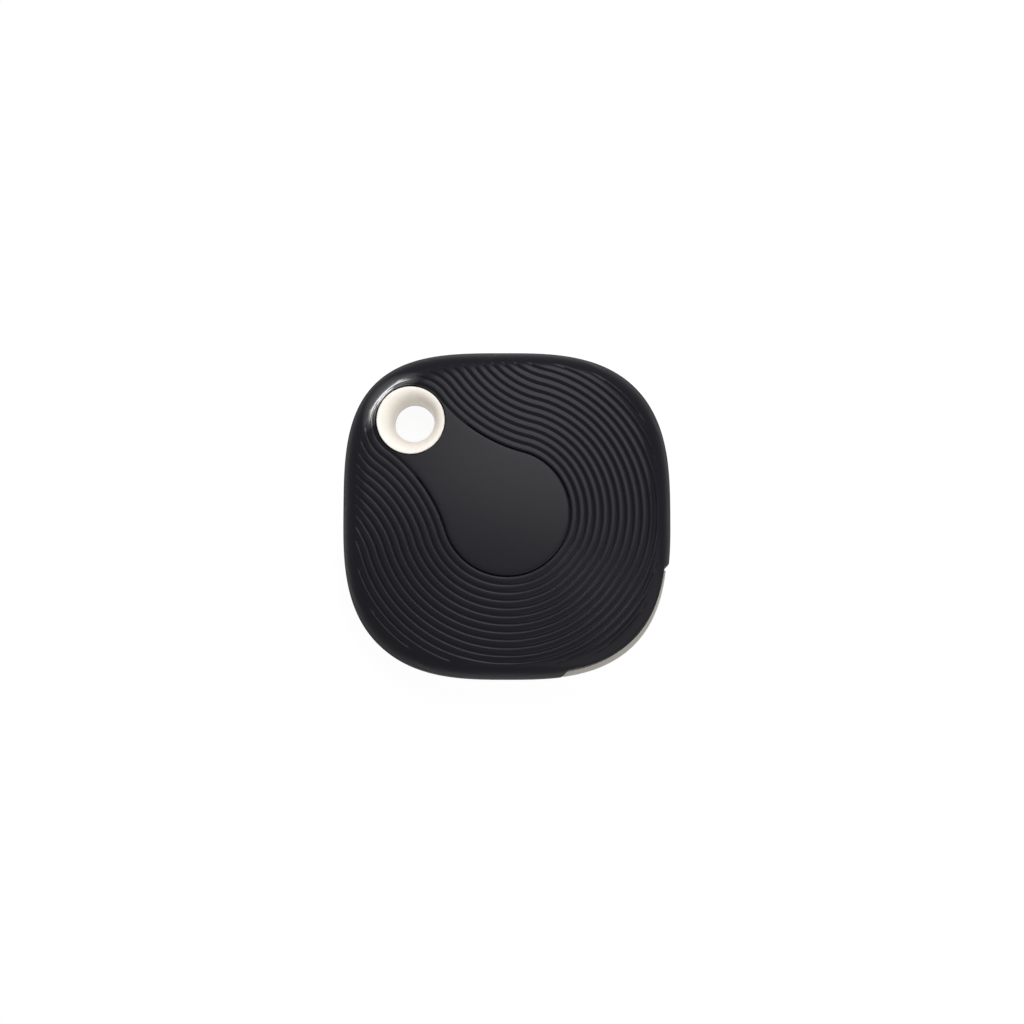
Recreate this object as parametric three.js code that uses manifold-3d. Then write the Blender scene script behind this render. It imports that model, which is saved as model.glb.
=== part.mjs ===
// Bluetooth tracker tag: a rounded square fob with a ribbed black front cover, an ivory rear
// shell, an ivory key-ring eyelet through one corner, and a press tongue in the middle.
// Millimetres, +Z out of the front face, origin on the back face under the middle of the tag.
import * as THREE from "three";
import { mergeVertices } from "three/addons/utils/BufferGeometryUtils.js";
import Module from "manifold-3d";

const wasm = await Module();
wasm.setup();

// Coin cell, which sets the size of everything round it
const cellRadius = 10;
const cellThick = 3.2;
const cellShift = 1.5;
const cellBevel = 0.3;
const cellRimWall = 0.6;
const cellSealWall = 0.5;
const cellCapRaise = 0.25;
const cellCapDepth = 0.8;

// Outline: superellipse powers, finenesses and clearances
const cornerPower = 2.9;
const ringCornerPower = 3.3;
const outlineSteps = 64;
const roundSteps = 32;
const smallSteps = 12;
const overrun = 0.4;
const fitGap = 0.15;
const looseGap = 0.3;

// Front cover
const frontRoundWide = 2.75;
const frontRoundDeep = 2.6;
const frontRoundSteps = 6;
const skirtDraft = 0.05;
const skirtWall = 1.4;
const roofWall = 1.5;
const sealStepWide = 1;

// Ribbed grip: grooves run parallel to a keyhole outline round the press disc and the eyelet
const discRadius = 7.7;
const neckCurve = 19;
const eyeletRimWide = 0.4;
const groovePitch = 0.95;
const grooveCount = 14;
const grooveWide = 0.5;
const grooveFloor = 0.14;
const grooveDepth = 0.3;
const chordError = 0.05;

// Press tongue, cut free along the first groove and hinged across its neck
const tongueSlot = 0.3;
const hingeMargin = 1.55;
const nubRadius = 0.8;
const nubLength = 0.3;
const filmThick = 0.2;
const filmLap = 0.7;

// Key-ring eyelet, set in from the corner of the outline and a degree off its diagonal
const eyeletInset = 6.66;
const ringAngle = 135.97;
const boreRadius = 2.45;
const boreShiftX = 0.35;
const boreShiftY = 0.1;
const funnelRadius = 4.15;
const funnelLip = 0.12;
const funnelDepth = 2.8;
const funnelSteps = 6;
const eyeletSink = 0.12;
const eyeletShoulder = 4.7;
const rearFunnelRadius = 3.5;
const rearFunnelDepth = 4.6;

// Rear shell
const rearRoundWide = 2.6;
const rearRoundDeep = 2.4;
const rearRoundSteps = 5;
const rearInset = 0.65;
const rearDraft = 0.2;
const rearFloor = 1.2;
const cavityRound = 1;
const lipHeight = 3;
const lipWall = 1;
const gasketThick = 0.6;

// Pry notch opposite the eyelet, in degrees about the middle of the tag
const notchFrom = -71.5;
const notchTo = -17.4;
const notchDepth = 0.6;
const ledgeThick = 1.2;
const ledgeEase = 1;
const prySlotAngle = 14;
const prySlotHeight = 0.8;

// Circuit board and the stakes that hold it
const boardThick = 0.8;
const boardGap = 0.8;
const partsRoom = 4.55;
const stakeRadius = 0.8;
const stakeShoulder = 1.6;
const stakeHead = 1.4;
const stakeHeadThick = 0.4;

// Inner frame, with the well that the cell drops into
const framePlate = 0.8;
const frameGap = 0.3;
const frameRimWall = 0.8;
const frameRimDrop = 2.6;
const wellWall = 0.85;
const wellGap = 0.25;
const wellDrop = 3.4;

// Cell contacts
const clipWide = 4.4;
const clipThick = 0.2;
const clipFoot = 1.6;
const contactWide = 3;
const contactLong = 6;
const contactPad = 1.8;
const contactRoom = 0.6;

// Buzzer: a ceramic disc on a brass disc, bonded to the floor of the rear shell
const brassRadius = 9.5;
const buzzerMargin = 1.95;
const buzzerRoom = 0.4;
const brassThick = 0.2;
const brassBorder = 2.7;
const ceramicThick = 0.2;
const springWide = 1.4;
const springStrip = 0.15;
const springReach = 1.8;
const springInset = 0.8;

// Tactile switch under the tongue
const switchWide = 4.5;
const switchTall = 1;
const switchBaseFloor = 0.3;
const switchFrameThick = 0.15;
const switchFrameInset = 0.3;
const switchWell = 1.6;
const domeRadius = 1.45;
const domeRise = 0.2;
const domeThick = 0.08;
const plungerRadius = 0.9;
const plungerFlange = 1.3;
const plungerFlangeThick = 0.12;
const plungerGap = 0.1;
const plungerStand = 0.15;

// Parts on the board
const chipWide = 5;
const chipTall = 0.85;
const driverWide = 3;
const driverTall = 0.8;
const inductorWide = 3;
const inductorTall = 1.1;
const crystalLong = 3.2;
const crystalWide = 2.5;
const crystalTall = 0.75;
const antennaLong = 7;
const antennaWide = 2;
const antennaTall = 1;
const bulkLong = 3.2;
const bulkWide = 1.6;
const bulkTall = 1.2;
const smallLong = 1.6;
const smallWide = 0.8;
const smallTall = 0.7;

// Heights, stacked from the back face up
const brassTop = rearFloor + brassThick;
const ceramicTop = brassTop + ceramicThick;
const strapLow = ceramicTop + buzzerRoom;
const cellSeat = strapLow + clipThick;
const cellTop = cellSeat + cellThick;
const boardBottom = cellTop + contactRoom;
const boardTop = boardBottom + boardThick;
const lipTop = boardBottom;
const partingHeight = lipTop - lipHeight;
const sealHeight = lipTop + gasketThick;
const switchTop = boardTop + switchTall;
const switchPlateTop = switchTop + switchFrameThick;
const plungerTop = switchPlateTop + plungerStand;
const nubBottom = plungerTop + plungerGap;
const roofHeight = nubBottom + nubLength;
const bodyThickness = roofHeight + roofWall;
const eyeletTop = bodyThickness - eyeletSink;

// Half widths, worked out from the cell to the skirt
const wellRadius = cellRadius + wellGap;
const frameOuter = cellShift + wellRadius + wellWall + partsRoom;
const lipInner = frameOuter + frameGap;
const lipOuter = lipInner + lipWall;
const skirtInner = lipOuter + fitGap;
const halfWidth = skirtInner + skirtWall;
const upperInner = skirtInner - sealStepWide;
const boardOuter = upperInner - boardGap;
const rearOuter = halfWidth - rearInset;
const floorHalf = lipInner - cavityRound;
const bossRadius = eyeletShoulder + looseGap;
const boardNotch = bossRadius + looseGap;
const ceramicRadius = brassRadius - brassBorder;
const cellCapRadius = cellRadius - cellRimWall - cellSealWall - 2 * fitGap;

// Places: u runs from the middle of the tag towards the eyelet, v square to it
const towardsRing = (ringAngle * Math.PI) / 180;
const place = (u, v) => [
  u * Math.cos(towardsRing) - v * Math.sin(towardsRing),
  u * Math.sin(towardsRing) + v * Math.cos(towardsRing),
];
const middle = [0, 0];
const cornerReach = halfWidth * Math.SQRT2 * 2 ** (-1 / ringCornerPower);
const eyeletReach = cornerReach - eyeletInset;
const hingeReach = eyeletReach - funnelRadius - hingeMargin;
const buzzerShift = floorHalf - brassRadius - buzzerMargin;
const eyeletPlace = place(eyeletReach, 0);
const borePlace = [eyeletPlace[0] + boreShiftX, eyeletPlace[1] + boreShiftY];
const cellPlace = [cellShift, -cellShift];
const buzzerPlace = [-buzzerShift, -buzzerShift];

const blackGrip = new THREE.MeshStandardMaterial({ color: 0x323236, roughness: 0.5 });
const ivoryShell = new THREE.MeshStandardMaterial({ color: 0xefebe4, roughness: 0.35 });
const greyRubber = new THREE.MeshStandardMaterial({ color: 0x55585c, roughness: 0.8 });
const darkPlastic = new THREE.MeshStandardMaterial({ color: 0x24262a, roughness: 0.6 });
const greenBoard = new THREE.MeshStandardMaterial({ color: 0x1f5a3a, roughness: 0.5 });
const steel = new THREE.MeshStandardMaterial({ color: 0xb9bcc0, roughness: 0.3, metalness: 1 });
const brass = new THREE.MeshStandardMaterial({ color: 0xc9a24c, roughness: 0.35, metalness: 1 });
const gold = new THREE.MeshStandardMaterial({ color: 0xd8b25a, roughness: 0.3, metalness: 1 });
const whiteCeramic = new THREE.MeshStandardMaterial({ color: 0xd9d6cf, roughness: 0.5 });
const tanCeramic = new THREE.MeshStandardMaterial({ color: 0xa98b63, roughness: 0.6 });

const tag = new THREE.Group();

// Outlines

function squircle(half, corner = ringCornerPower) {
  const points = [];
  for (let i = 0; i < outlineSteps; i += 1) {
    points.push(outlinePoint(half, (2 * Math.PI * i) / outlineSteps, corner));
  }
  return points;
}

function outlinePoint(half, angle, corner = ringCornerPower) {
  const across = Math.cos(angle);
  const up = Math.sin(angle);
  const power = across < 0 && up > 0 ? corner : cornerPower;
  const spread = Math.abs(across) ** power + Math.abs(up) ** power;
  const reach = half / spread ** (1 / power);
  return [reach * across, reach * up];
}

function circle(radius, centre = middle, steps = roundSteps) {
  const points = [];
  for (let i = 0; i < steps; i += 1) {
    const angle = (2 * Math.PI * i) / steps;
    points.push([centre[0] + radius * Math.cos(angle), centre[1] + radius * Math.sin(angle)]);
  }
  return points;
}

function rectangle(wide, deep, centre = middle) {
  const x = wide / 2;
  const y = deep / 2;
  const corners = [[-x, -y], [x, -y], [x, y], [-x, y]];
  return corners.map((corner) => [corner[0] + centre[0], corner[1] + centre[1]]);
}

// The keyhole outline, moved out by offset: an arc round the eyelet, an arc round the disc,
// and two hollow arcs that join them. The steps follow stepOffset, so outlines can be joined.
function keyhole(offset, stepOffset = offset) {
  const rimRadius = funnelRadius + eyeletRimWide;
  const sum = discRadius + neckCurve;
  const far = rimRadius + neckCurve;
  const neckU = (sum ** 2 - far ** 2 + eyeletReach ** 2) / (2 * eyeletReach);
  const neckV = Math.sqrt(sum ** 2 - neckU ** 2);
  const atDisc = Math.atan2(neckV, neckU);
  const atRim = Math.atan2(neckV, neckU - eyeletReach);
  const arcs = [
    { u: eyeletReach, v: 0, r: rimRadius, grow: 1, from: -atRim, to: atRim },
    { u: neckU, v: neckV, r: neckCurve, grow: -1, from: atRim - Math.PI, to: atDisc - Math.PI },
    { u: 0, v: 0, r: discRadius, grow: 1, from: atDisc, to: 2 * Math.PI - atDisc },
    { u: neckU, v: -neckV, r: neckCurve, grow: -1, from: Math.PI - atDisc, to: Math.PI - atRim },
  ];
  const points = [];
  for (const arc of arcs) {
    const radius = arc.r + arc.grow * offset;
    const turn = arc.to - arc.from;
    const step = 2 * Math.acos(1 - chordError / (arc.r + arc.grow * stepOffset));
    const steps = Math.ceil(Math.abs(turn) / step);
    for (let i = 0; i < steps; i += 1) {
      const angle = arc.from + (turn * i) / steps;
      points.push(place(arc.u + radius * Math.cos(angle), arc.v + radius * Math.sin(angle)));
    }
  }
  return points;
}

// Solids

// A geometry as a manifold solid that faces outwards
function solidOf(geometry) {
  geometry.deleteAttribute("normal");
  geometry.deleteAttribute("uv");
  const merged = mergeVertices(geometry);
  const index = merged.index.array;
  const corners = [];
  for (let i = 0; i < index.length; i += 3) {
    const [a, b, c] = [index[i], index[i + 1], index[i + 2]];
    if (a !== b && b !== c && c !== a) corners.push([a, b, c]);
  }
  const made = manifoldOf(merged.attributes.position.array, corners.flat());
  if (made.volume() > 0) return made;
  return manifoldOf(merged.attributes.position.array, corners.flat().reverse());
}

function manifoldOf(vertProperties, corners) {
  const triVerts = new Uint32Array(corners);
  return new wasm.Manifold(new wasm.Mesh({ numProp: 3, vertProperties, triVerts }));
}

// Walls between outlines of equal count at rising heights. Closed ones join last to first, and
// the others are capped by fans from the middle of the tag.
function loft(sections, closed = false) {
  const count = sections[0].points.length;
  const position = sections.flatMap((section) =>
    section.points.flatMap((point) => [point[0], point[1], section.z]),
  );
  const index = [];
  const bands = closed ? sections.length : sections.length - 1;
  for (let i = 0; i < bands; i += 1) {
    const low = i * count;
    const high = ((i + 1) % sections.length) * count;
    for (let j = 0; j < count; j += 1) {
      const k = (j + 1) % count;
      index.push(low + j, low + k, high + k, low + j, high + k, high + j);
    }
  }
  if (!closed) {
    const lowest = position.length / 3;
    const top = (sections.length - 1) * count;
    position.push(0, 0, sections[0].z, 0, 0, sections.at(-1).z);
    for (let j = 0; j < count; j += 1) {
      const k = (j + 1) % count;
      index.push(lowest, k, j, lowest + 1, top + j, top + k);
    }
  }
  const geometry = new THREE.BufferGeometry();
  geometry.setAttribute("position", new THREE.Float32BufferAttribute(position, 3));
  geometry.setIndex(index);
  return solidOf(geometry);
}

// A straight wall on any outline
function prism(points, low, high) {
  const shape = new THREE.Shape(points.map((point) => new THREE.Vector2(point[0], point[1])));
  const geometry = new THREE.ExtrudeGeometry(shape, { depth: high - low, bevelEnabled: false });
  geometry.translate(0, 0, low);
  return solidOf(geometry);
}

function rod(radius, low, high, centre = middle, steps = roundSteps) {
  return prism(circle(radius, centre, steps), low, high);
}

function box(wide, deep, low, high, centre = middle) {
  return prism(rectangle(wide, deep, centre), low, high);
}

// A turned piece: radius and height pairs from the axis round to the axis
function turned(profile, centre = middle, steps = roundSteps) {
  const points = profile.map((pair) => new THREE.Vector2(pair[0], pair[1]));
  const geometry = new THREE.LatheGeometry(points, steps);
  geometry.rotateX(Math.PI / 2);
  geometry.translate(centre[0], centre[1], 0);
  return solidOf(geometry);
}

// A bent strip: distance and height pairs, as wide as given, turned about Z to its place
function strip(profile, wide, centre, angle = 0) {
  const shape = new THREE.Shape(profile.map((pair) => new THREE.Vector2(pair[0], pair[1])));
  const geometry = new THREE.ExtrudeGeometry(shape, { depth: wide, bevelEnabled: false });
  geometry.translate(0, 0, -wide / 2);
  geometry.rotateX(Math.PI / 2);
  geometry.rotateZ(angle);
  geometry.translate(centre[0], centre[1], 0);
  return solidOf(geometry);
}

// A band of the squircle between two angles in degrees
function sector(inner, outer, from, to, low, high) {
  const steps = Math.ceil(((to - from) * outlineSteps) / 360);
  const rimward = [];
  const back = [];
  for (let i = 0; i <= steps; i += 1) {
    const angle = ((from + ((to - from) * i) / steps) * Math.PI) / 180;
    rimward.push(outlinePoint(outer, angle));
    back.unshift(outlinePoint(inner, angle));
  }
  return prism([...rimward, ...back], low, high);
}

// Everything on the disc side of a line across the neck
function discSide(reach, low, high) {
  const far = 2 * halfWidth;
  const corners = [place(reach, -far), place(reach, far), place(-far, far), place(-far, -far)];
  return prism(corners, low, high);
}

function addPiece(name, solid, material) {
  const made = solid.getMesh();
  const geometry = new THREE.BufferGeometry();
  geometry.setAttribute("position", new THREE.BufferAttribute(made.vertProperties, 3));
  geometry.setIndex(new THREE.BufferAttribute(made.triVerts, 1));
  const flat = geometry.toNonIndexed();
  flat.computeVertexNormals();
  const mesh = new THREE.Mesh(flat, material);
  mesh.name = name;
  tag.add(mesh);
}

// The eyelet's corner grows squarer from the face down to the skirt
function frontSection(outward, z) {
  const share = outward / frontRoundWide;
  const corner = cornerPower + (ringCornerPower - cornerPower) * share;
  const half = halfWidth - skirtDraft - frontRoundWide + outward;
  return { points: squircle(half, corner), z };
}

// One groove cutter: a ring with sloped sides that follows the keyhole
function grooveCutter(number) {
  const offset = number * groovePitch;
  const low = bodyThickness - grooveDepth;
  const high = bodyThickness + overrun;
  const slope = (grooveWide - grooveFloor) / grooveDepth;
  const floorHalf = grooveFloor / 2;
  const topHalf = floorHalf + (slope * (high - low)) / 2;
  return loft(
    [
      { points: keyhole(offset + floorHalf, offset), z: low },
      { points: keyhole(offset + topHalf, offset), z: high },
      { points: keyhole(offset - topHalf, offset), z: high },
      { points: keyhole(offset - floorHalf, offset), z: low },
    ],
    true,
  );
}

// Stakes hang from the cover through the board and the frame, away from the cell and eyelet
const stakeShares = [
  [0.57, 0.57],
  [0.57, -0.57],
  [-0.57, -0.57],
  [-0.72, 0.06],
];
const stakePlaces = stakeShares.map((share) => share.map((part) => part * halfWidth));

// Front cover
const frontRings = [
  { points: squircle(halfWidth), z: partingHeight },
  { points: squircle(halfWidth - skirtDraft), z: bodyThickness - frontRoundDeep },
];
for (let i = frontRoundSteps - 1; i >= 0; i -= 1) {
  const angle = (Math.PI * i) / (2 * frontRoundSteps);
  const drop = frontRoundDeep * (1 - Math.cos(angle));
  frontRings.push(frontSection(frontRoundWide * Math.sin(angle), bodyThickness - drop));
}
const frontCavity = loft([
  { points: squircle(skirtInner), z: partingHeight - overrun },
  { points: squircle(skirtInner), z: sealHeight },
]).add(
  loft([
    { points: squircle(upperInner), z: sealHeight - overrun },
    { points: squircle(upperInner), z: roofHeight },
  ]),
);
let frontCover = loft(frontRings).subtract(frontCavity);
frontCover = frontCover.add(
  rod(bossRadius, sealHeight, roofHeight + overrun, eyeletPlace).intersect(
    loft([
      { points: squircle(halfWidth - skirtWall / 2), z: sealHeight },
      { points: squircle(halfWidth - skirtWall / 2), z: roofHeight + overrun },
    ]),
  ),
);
for (const spot of stakePlaces) {
  const pinLow = boardBottom - framePlate;
  frontCover = frontCover
    .add(rod(stakeShoulder, boardTop, roofHeight + overrun, spot, smallSteps))
    .add(rod(stakeRadius, pinLow, boardTop + overrun, spot, smallSteps))
    .add(rod(stakeHead, pinLow - stakeHeadThick, pinLow, spot, smallSteps));
}
const coverHole = rod(
  funnelRadius + fitGap,
  partingHeight,
  bodyThickness + overrun,
  eyeletPlace,
);
const shoulderSpace = rod(bossRadius, partingHeight - overrun, sealHeight, eyeletPlace);
const tongueSpace = prism(
  keyhole(tongueSlot / 2, 0),
  roofHeight - overrun,
  bodyThickness + overrun,
).intersect(discSide(hingeReach + tongueSlot / 2, roofHeight - overrun, bodyThickness + overrun));
const notchSpace = sector(
  halfWidth - notchDepth,
  halfWidth + overrun,
  notchFrom,
  notchTo,
  partingHeight - overrun,
  bodyThickness + overrun,
);
const notchMiddle = (notchFrom + notchTo) / 2;
const prySlot = sector(
  skirtInner - overrun,
  halfWidth + overrun,
  notchMiddle - prySlotAngle / 2,
  notchMiddle + prySlotAngle / 2,
  partingHeight - overrun,
  partingHeight + prySlotHeight,
);
frontCover = frontCover
  .subtract(coverHole)
  .subtract(shoulderSpace)
  .subtract(tongueSpace)
  .subtract(notchSpace)
  .subtract(prySlot);
for (let number = 0; number < grooveCount; number += 1) {
  frontCover = frontCover.subtract(grooveCutter(number));
}
addPiece("front_cover", frontCover, blackGrip);

// Press tongue, with the nub that meets the switch, and the film that seals its slot
const pressTongue = prism(keyhole(-tongueSlot / 2, 0), roofHeight, bodyThickness)
  .intersect(discSide(hingeReach - tongueSlot / 2, roofHeight, bodyThickness))
  .subtract(grooveCutter(0))
  .add(rod(nubRadius, nubBottom, roofHeight + overrun));
addPiece("press_tongue", pressTongue, blackGrip);

const sealFilm = prism(keyhole(filmLap, 0), roofHeight - filmThick, roofHeight)
  .intersect(discSide(hingeReach - tongueSlot / 2, roofHeight - filmThick, roofHeight))
  .subtract(rod(nubRadius + fitGap, roofHeight - filmThick - overrun, roofHeight + overrun));
addPiece("tongue_seal_film", sealFilm, greyRubber);

// Rear shell
const rearRings = [];
for (let i = 0; i <= rearRoundSteps; i += 1) {
  const angle = (Math.PI * i) / (2 * rearRoundSteps);
  const half = rearOuter - rearDraft - rearRoundWide * (1 - Math.sin(angle));
  rearRings.push({ points: squircle(half), z: rearRoundDeep * (1 - Math.cos(angle)) });
}
rearRings.push({ points: squircle(rearOuter), z: partingHeight });
const lip = loft([
  { points: squircle(lipOuter), z: partingHeight - overrun },
  { points: squircle(lipOuter), z: lipTop },
]);
const rearCavity = loft([
  { points: squircle(floorHalf), z: rearFloor },
  { points: squircle(lipInner), z: rearFloor + cavityRound },
  { points: squircle(lipInner), z: lipTop + overrun },
]);
const ledge = sector(
  rearOuter - rearDraft - overrun,
  halfWidth - skirtDraft,
  notchFrom + ledgeEase,
  notchTo - ledgeEase,
  partingHeight - ledgeThick,
  partingHeight,
);
const rearShell = loft(rearRings)
  .add(lip)
  .add(ledge)
  .subtract(rearCavity)
  .subtract(rod(funnelRadius + fitGap, -overrun, rearFloor + overrun, eyeletPlace))
  .subtract(rod(eyeletShoulder + fitGap, rearFloor, lipTop + overrun, eyeletPlace));
addPiece("rear_shell", rearShell, ivoryShell);

// Key-ring eyelet: its funnel curves from the face into the bore, which sits a little off it
const funnelRings = [];
for (let i = 0; i <= funnelSteps; i += 1) {
  const angle = (Math.PI * i) / (2 * funnelSteps);
  const inShare = Math.sin(angle);
  const wide = funnelRadius - funnelLip - boreRadius;
  funnelRings.push({
    points: circle(boreRadius + wide * (1 - inShare), [
      eyeletPlace[0] + boreShiftX * inShare,
      eyeletPlace[1] + boreShiftY * inShare,
    ]),
    z: eyeletTop - funnelDepth * (1 - Math.cos(angle)),
  });
}
const eyelet = loft(
  [
    { points: circle(funnelRadius, eyeletPlace), z: 0 },
    { points: circle(funnelRadius, eyeletPlace), z: rearFloor },
    { points: circle(eyeletShoulder, eyeletPlace), z: rearFloor },
    { points: circle(eyeletShoulder, eyeletPlace), z: lipTop },
    { points: circle(funnelRadius, eyeletPlace), z: lipTop },
    { points: circle(funnelRadius, eyeletPlace), z: eyeletTop },
    ...funnelRings,
    { points: circle(boreRadius, borePlace), z: rearFunnelDepth },
    { points: circle(rearFunnelRadius, eyeletPlace), z: 0 },
  ],
  true,
);
addPiece("ring_eyelet", eyelet, ivoryShell);

// Gasket: one ring on the lip and one round the eyelet, moulded together
const gasketOutside = loft([
  { points: squircle(lipOuter), z: lipTop },
  { points: squircle(lipOuter), z: sealHeight },
]);
const gasketInside = loft([
  { points: squircle(upperInner), z: lipTop - overrun },
  { points: squircle(upperInner), z: sealHeight + overrun },
]);
const gasketCollar = rod(eyeletShoulder, lipTop, sealHeight, eyeletPlace);
const gasket = gasketOutside
  .subtract(gasketInside)
  .add(gasketCollar.intersect(gasketOutside))
  .subtract(rod(funnelRadius + fitGap, lipTop - overrun, sealHeight + overrun, eyeletPlace));
addPiece("perimeter_gasket", gasket, greyRubber);

// Circuit board
let board = prism(squircle(boardOuter), boardBottom, boardTop).subtract(
  rod(boardNotch, boardBottom - overrun, boardTop + overrun, eyeletPlace),
);
for (const spot of stakePlaces) {
  board = board.subtract(
    rod(stakeRadius + fitGap, boardBottom - overrun, boardTop + overrun, spot, smallSteps),
  );
}
addPiece("circuit_board", board, greenBoard);

// Springs that reach from the board to the buzzer: one on the ceramic, one on the brass
const fromCell = [buzzerPlace[0] - cellPlace[0], buzzerPlace[1] - cellPlace[1]];
const springAngle = Math.atan2(fromCell[1], fromCell[0]);
const brassAngle = springAngle + Math.PI / 4;
const brassMiddle = brassRadius - brassBorder / 2;
const springs = [
  { name: "ceramic", out: ceramicRadius - springInset, angle: springAngle, low: ceramicTop },
  { name: "brass", out: brassMiddle, angle: brassAngle, low: brassTop },
];
for (const spring of springs) {
  spring.place = [
    buzzerPlace[0] + spring.out * Math.cos(spring.angle),
    buzzerPlace[1] + spring.out * Math.sin(spring.angle),
  ];
}

// Inner frame: a plate under the board, a well round the cell and a rim along its edge
const frameLow = boardBottom - framePlate;
let frame = prism(squircle(frameOuter), frameLow - frameRimDrop + framePlate, boardBottom)
  .subtract(
    prism(squircle(frameOuter - frameRimWall), frameLow - frameRimDrop, frameLow),
  )
  .add(rod(wellRadius + wellWall, boardBottom - wellDrop, boardBottom, cellPlace))
  .subtract(rod(wellRadius, frameLow - wellDrop, boardBottom + overrun, cellPlace))
  .subtract(rod(boardNotch, frameLow - wellDrop, boardBottom + overrun, eyeletPlace));
for (const spot of stakePlaces) {
  frame = frame.subtract(
    rod(stakeRadius + fitGap, frameLow - overrun, boardBottom + overrun, spot, smallSteps),
  );
}
const clipReach = wellRadius + looseGap;
const clipRoom = 2 * (clipReach + clipThick + clipFoot + looseGap);
frame = frame.subtract(
  box(clipRoom, clipWide + 2 * looseGap, frameLow - wellDrop, boardBottom + overrun, cellPlace),
);
for (const spring of springs) {
  const room = springReach + 2 * looseGap;
  frame = frame.subtract(
    box(room, room, frameLow - overrun, boardBottom + overrun, spring.place),
  );
}
addPiece("inner_frame", frame, darkPlastic);

// Coin cell: can, seal ring and cap
const canTop = cellTop - cellCapRaise;
const canFloor = cellTop - cellCapDepth;
const cellCan = turned(
  [
    [0, cellSeat],
    [cellRadius - cellBevel, cellSeat],
    [cellRadius, cellSeat + cellBevel],
    [cellRadius, canTop - cellBevel],
    [cellRadius - cellBevel, canTop],
    [cellRadius - cellRimWall, canTop],
    [cellRadius - cellRimWall, canFloor],
    [0, canFloor],
  ],
  cellPlace,
);
addPiece("coin_cell_can", cellCan, steel);
const cellSeal = rod(cellRadius - cellRimWall - fitGap, canFloor, canTop, cellPlace).subtract(
  rod(cellCapRadius + fitGap, canFloor - overrun, canTop + overrun, cellPlace),
);
addPiece("coin_cell_seal", cellSeal, darkPlastic);
const cellCap = turned(
  [
    [0, canFloor],
    [cellCapRadius, canFloor],
    [cellCapRadius, canTop - cellBevel],
    [cellCapRadius - cellBevel, cellTop],
    [0, cellTop],
  ],
  cellPlace,
);
addPiece("coin_cell_cap", cellCap, steel);

// Positive clip: a strap under the can, with a leg up each side to a foot on the board
const footLow = boardBottom - clipThick;
const footReach = clipReach + clipThick + clipFoot;
const legOuter = clipReach + clipThick;
const positiveClip = strip(
  [
    [-legOuter, strapLow],
    [legOuter, strapLow],
    [legOuter, footLow],
    [footReach, footLow],
    [footReach, boardBottom],
    [clipReach, boardBottom],
    [clipReach, cellSeat],
    [-clipReach, cellSeat],
    [-clipReach, boardBottom],
    [-footReach, boardBottom],
    [-footReach, footLow],
    [-legOuter, footLow],
  ],
  clipWide,
  cellPlace,
);
addPiece("positive_clip", positiveClip, steel);

// Negative contact: a leaf that leans from the board down to the cap
const leafLow = cellTop + fitGap;
const leafEnd = contactLong - contactPad;
const negativeContact = strip(
  [
    [-contactPad, boardBottom - clipThick],
    [0, boardBottom - clipThick],
    [leafEnd - contactPad, leafLow],
    [leafEnd, leafLow],
    [leafEnd, leafLow + clipThick],
    [leafEnd - contactPad, leafLow + clipThick],
    [0, boardBottom],
    [-contactPad, boardBottom],
  ],
  contactWide,
  cellPlace,
);
addPiece("negative_contact", negativeContact, gold);

// Buzzer
addPiece("buzzer_plate", rod(brassRadius, rearFloor, brassTop, buzzerPlace), brass);
addPiece("buzzer_ceramic", rod(ceramicRadius, brassTop, ceramicTop, buzzerPlace), whiteCeramic);
for (const spring of springs) {
  const low = spring.low + fitGap;
  const bend = (boardBottom + low) / 2;
  const half = springReach / 2;
  const leaf = strip(
    [
      [-half, boardBottom - springStrip],
      [half - 2 * springStrip, boardBottom - springStrip],
      [half - springStrip, bend],
      [-half + springStrip, low],
      [half, low],
      [half, low + springStrip],
      [-half + 3 * springStrip, low + springStrip],
      [half, bend],
      [half, boardBottom],
      [-half, boardBottom],
    ],
    springWide,
    spring.place,
  );
  addPiece("buzzer_spring_" + spring.name, leaf, gold);
}

// Tactile switch: base, metal frame, snap dome and the plunger that the tongue presses
const switchFloor = boardTop + switchBaseFloor;
const switchBase = box(switchWide, switchWide, boardTop, switchTop).subtract(
  rod(switchWell, switchFloor, switchTop + overrun),
);
addPiece("switch_base", switchBase, darkPlastic);
const plateWide = switchWide - switchFrameInset;
const switchFrame = box(plateWide, plateWide, switchTop, switchPlateTop).subtract(
  rod(plungerRadius + fitGap, switchTop - overrun, switchPlateTop + overrun),
);
addPiece("switch_frame", switchFrame, steel);
const dome = turned([
  [0, switchFloor + domeRise - domeThick],
  [domeRadius / 2, switchFloor + domeRise / 2 - domeThick / 2],
  [domeRadius - domeThick, switchFloor],
  [domeRadius, switchFloor],
  [domeRadius / 2, switchFloor + domeRise / 2 + domeThick],
  [0, switchFloor + domeRise],
]);
addPiece("switch_dome", dome, steel);
const plunger = turned([
  [0, switchTop - plungerFlangeThick],
  [plungerFlange, switchTop - plungerFlangeThick],
  [plungerFlange, switchTop - plungerGap],
  [plungerRadius, switchTop - plungerGap],
  [plungerRadius, plungerTop],
  [0, plungerTop],
]);
addPiece("switch_plunger", plunger, whiteCeramic);

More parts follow.
